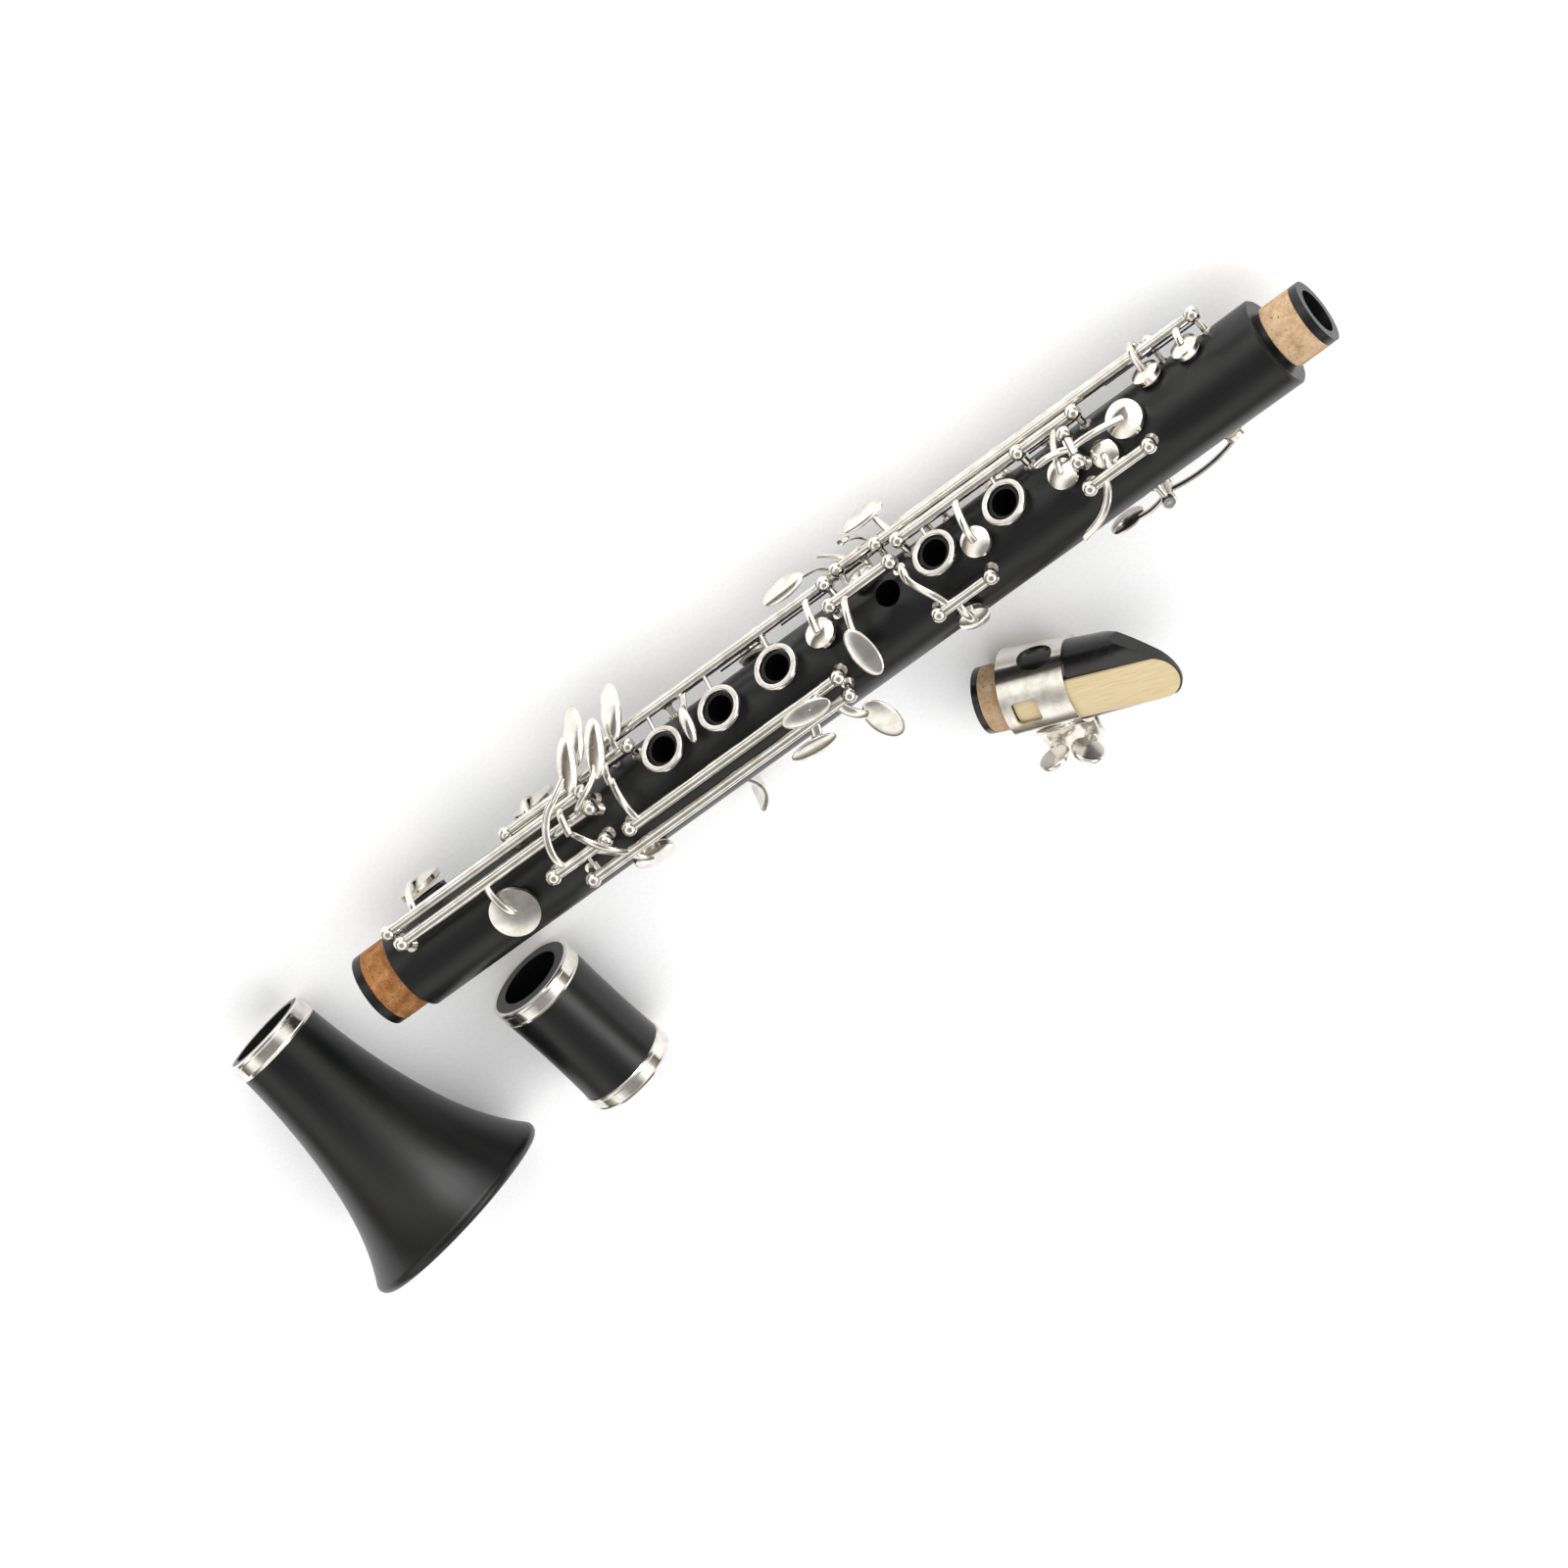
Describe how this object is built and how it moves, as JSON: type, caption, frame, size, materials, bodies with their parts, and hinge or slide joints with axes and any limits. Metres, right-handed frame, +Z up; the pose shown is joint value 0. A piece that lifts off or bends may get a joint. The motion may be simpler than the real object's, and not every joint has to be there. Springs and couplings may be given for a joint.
{
  "type": "e-flat clarinet",
  "caption": "Small black clarinet with bright keys, laid out apart: body joint, barrel, bell, and mouthpiece with reed and ligature.",
  "frame": {"origin": "bottom centre of the whole layout's box, on the table the pieces lie on", "axes": "+X runs along the body joint from its bell end to its barrel end, +Z is up, +Y is the side the open finger holes face"},
  "size_m": [0.388, 0.1048, 0.0616],
  "materials": {
    "body_black": "satin black with a fine grain",
    "mouthpiece_black": "polished black hard rubber",
    "silver": "bright nickel plate",
    "steel": "ground steel",
    "spring_blue": "blued steel",
    "key_pad": "pale skin",
    "cork": "sanded cork with dark specks",
    "cane": "fine straight grain"
  },
  "bodies": {
    "body_joint": {"body_joint": "body_black", "upper_tenon_cork": "cork", "lower_tenon_cork": "cork", "key_posts": "silver", "hinge_rods": "steel", "needle_springs": "spring_blue", "thumb_hole_tube": "silver", "register_tube": "silver", "thumb_rest": "silver", "thumb_rest_screws": "steel"},
    "low_e_key": {"low_e_key": "silver", "low_e_pad": "key_pad"},
    "low_f_key": {"low_f_key": "silver", "low_f_pad": "key_pad"},
    "a_flat_key": {"a_flat_key": "silver", "a_flat_pad": "key_pad"},
    "f_sharp_key": {"f_sharp_key": "silver", "f_sharp_pad": "key_pad"},
    "lower_ring_key": {"lower_ring_key": "silver", "lower_ring_pad": "key_pad"},
    "sliver_key": {"sliver_key": "silver", "sliver_pad": "key_pad"},
    "c_sharp_key": {"c_sharp_key": "silver", "c_sharp_pad": "key_pad"},
    "cross_key": {"cross_key": "silver", "cross_pad": "key_pad"},
    "upper_ring_key": {"upper_ring_key": "silver", "upper_ring_pad": "key_pad"},
    "thumb_ring_key": {"thumb_ring_key": "silver"},
    "vent_key": {"vent_key": "silver", "vent_pad": "key_pad"},
    "throat_g_key": {"throat_g_key": "silver", "throat_g_pad": "key_pad"},
    "trill_key_1": {"trill_key_1": "silver", "trill_pad_1": "key_pad"},
    "trill_key_2": {"trill_key_2": "silver", "trill_pad_2": "key_pad"},
    "trill_key_3": {"trill_key_3": "silver", "trill_pad_3": "key_pad"},
    "trill_key_4": {"trill_key_4": "silver", "trill_pad_4": "key_pad"},
    "left_f_lever": {"left_f_lever": "silver"},
    "left_e_lever": {"left_e_lever": "silver"},
    "left_f_sharp_lever": {"left_f_sharp_lever": "silver"},
    "throat_a_key": {"throat_a_key": "silver", "throat_a_pad": "key_pad"},
    "register_key": {"register_key": "silver", "register_pad": "key_pad"},
    "barrel": {"barrel": "body_black", "barrel_rings": "silver"},
    "bell": {"bell": "body_black", "bell_ring": "silver"},
    "mouthpiece": {"mouthpiece": "mouthpiece_black", "mouthpiece_cork": "cork", "reed": "cane", "ligature": "silver"},
    "ligature_screw_1": {"ligature_screw_1": "silver"},
    "ligature_screw_2": {"ligature_screw_2": "silver"}
  },
  "joints": [
    {"name": "low_e_key_press", "type": "hinge", "parent": "body_joint", "child": "low_e_key", "pos_m": [-0.08195, 0.03907, 0.03497], "axis": [-1, 0, 0], "range_deg": [0, 6.5]},
    {"name": "low_f_key_press", "type": "hinge", "parent": "body_joint", "child": "low_f_key", "pos_m": [-0.0522, 0.03957, 0.02853], "axis": [-1, 0, 0], "range_deg": [0, 8]},
    {"name": "a_flat_key_press", "type": "hinge", "parent": "body_joint", "child": "a_flat_key", "pos_m": [-0.0812, 0.03537, 0.03777], "axis": [-1, 0, 0], "range_deg": [0, 5]},
    {"name": "f_sharp_key_press", "type": "hinge", "parent": "body_joint", "child": "f_sharp_key", "pos_m": [-0.0582, 0.02667, 0.04195], "axis": [-1, 0, 0], "range_deg": [0, 4.5]},
    {"name": "lower_ring_key_press", "type": "hinge", "parent": "body_joint", "child": "lower_ring_key", "pos_m": [0.00155, 0.04207, 0.02386], "axis": [1, 0, 0], "range_deg": [0, 5.5]},
    {"name": "sliver_key_press", "type": "hinge", "parent": "body_joint", "child": "sliver_key", "pos_m": [-0.00145, 0.03899, 0.01735], "axis": [1, 0, 0], "range_deg": [0, 7.5]},
    {"name": "c_sharp_key_press", "type": "hinge", "parent": "body_joint", "child": "c_sharp_key", "pos_m": [0.05055, 0.03876, 0.03025], "axis": [1, 0, 0], "range_deg": [0, 7.5]},
    {"name": "cross_key_press", "type": "hinge", "parent": "body_joint", "child": "cross_key", "pos_m": [0.07405, 0.02304, 0.04198], "axis": [-1, 0, 0], "range_deg": [0, 7.5]},
    {"name": "upper_ring_key_press", "type": "hinge", "parent": "body_joint", "child": "upper_ring_key", "pos_m": [0.0958, 0.04089, 0.02615], "axis": [1, 0, 0], "range_deg": [0, 5.5]},
    {"name": "thumb_ring_key_press", "type": "hinge", "parent": "body_joint", "child": "thumb_ring_key", "pos_m": [0.10755, 0.02601, 0.00646], "axis": [-1, 0, 0], "range_deg": [0, 5.5]},
    {"name": "vent_key_press", "type": "hinge", "parent": "body_joint", "child": "vent_key", "pos_m": [0.0958, 0.04089, 0.02615], "axis": [1, 0, 0], "range_deg": [0, 5.5]},
    {"name": "throat_g_key_press", "type": "hinge", "parent": "body_joint", "child": "throat_g_key", "pos_m": [0.13005, 0.02699, 0.04186], "axis": [1, 0, 0], "range_deg": [0, 7.5]},
    {"name": "trill_key_1_press", "type": "hinge", "parent": "body_joint", "child": "trill_key_1", "pos_m": [0.1128, 0.04138, 0.0208], "axis": [-1, 0, 0], "range_deg": [0, 6.5]},
    {"name": "trill_key_2_press", "type": "hinge", "parent": "body_joint", "child": "trill_key_2", "pos_m": [0.09805, 0.04039, 0.01684], "axis": [-1, 0, 0], "range_deg": [0, 6.5]},
    {"name": "trill_key_3_press", "type": "hinge", "parent": "body_joint", "child": "trill_key_3", "pos_m": [0.07455, 0.03861, 0.01318], "axis": [1, 0, 0], "range_deg": [0, 6.5]},
    {"name": "trill_key_4_press", "type": "hinge", "parent": "body_joint", "child": "trill_key_4", "pos_m": [0.05655, 0.0361, 0.00996], "axis": [1, 0, 0], "range_deg": [0, 6.5]},
    {"name": "left_f_lever_press", "type": "hinge", "parent": "body_joint", "child": "left_f_lever", "pos_m": [-0.0047, 0.02537, 0.04222], "axis": [1, 0, 0], "range_deg": [0, 5.2]},
    {"name": "left_e_lever_press", "type": "hinge", "parent": "body_joint", "child": "left_e_lever", "pos_m": [-0.0142, 0.01943, 0.04233], "axis": [1, 0, 0], "range_deg": [0, 6.3]},
    {"name": "left_f_sharp_lever_press", "type": "hinge", "parent": "body_joint", "child": "left_f_sharp_lever", "pos_m": [-0.0142, 0.01943, 0.04233], "axis": [1, 0, 0], "range_deg": [0, 4.1]},
    {"name": "throat_a_key_press", "type": "hinge", "parent": "body_joint", "child": "throat_a_key", "pos_m": [0.12155, 0.03649, 0.03478], "axis": [0, -0.6157, 0.788], "range_deg": [0, 7]},
    {"name": "register_key_press", "type": "hinge", "parent": "body_joint", "child": "register_key", "pos_m": [0.12905, 0.00395, 0.02096], "axis": [0, 0.1392, -0.9903], "range_deg": [0, 5]},
    {"name": "barrel_lift", "type": "slide", "parent": "body_joint", "child": "barrel", "axis": [0, 0, 1], "range_m": [0, 0.12]},
    {"name": "bell_lift", "type": "slide", "parent": "body_joint", "child": "bell", "axis": [0, 0, 1], "range_m": [0, 0.12]},
    {"name": "mouthpiece_lift", "type": "slide", "parent": "body_joint", "child": "mouthpiece", "axis": [0, 0, 1], "range_m": [0, 0.12]},
    {"name": "ligature_screw_1_turn", "type": "hinge", "parent": "mouthpiece", "child": "ligature_screw_1", "pos_m": [0.05613, -0.04104, 0.01252], "axis": [-0.2604, -0.0319, 0.965], "continuous": true},
    {"name": "ligature_screw_2_turn", "type": "hinge", "parent": "mouthpiece", "child": "ligature_screw_2", "pos_m": [0.06543, -0.04379, 0.01494], "axis": [-0.2604, -0.0319, 0.965], "continuous": true}
  ],
  "couplings": [
    {"joint": "vent_key_press", "follows": "thumb_ring_key_press", "ratio": 1},
    {"joint": "left_f_lever_press", "follows": "low_f_key_press", "ratio": 0.64},
    {"joint": "left_e_lever_press", "follows": "low_e_key_press", "ratio": 0.95},
    {"joint": "left_f_sharp_lever_press", "follows": "f_sharp_key_press", "ratio": 0.9}
  ]
}
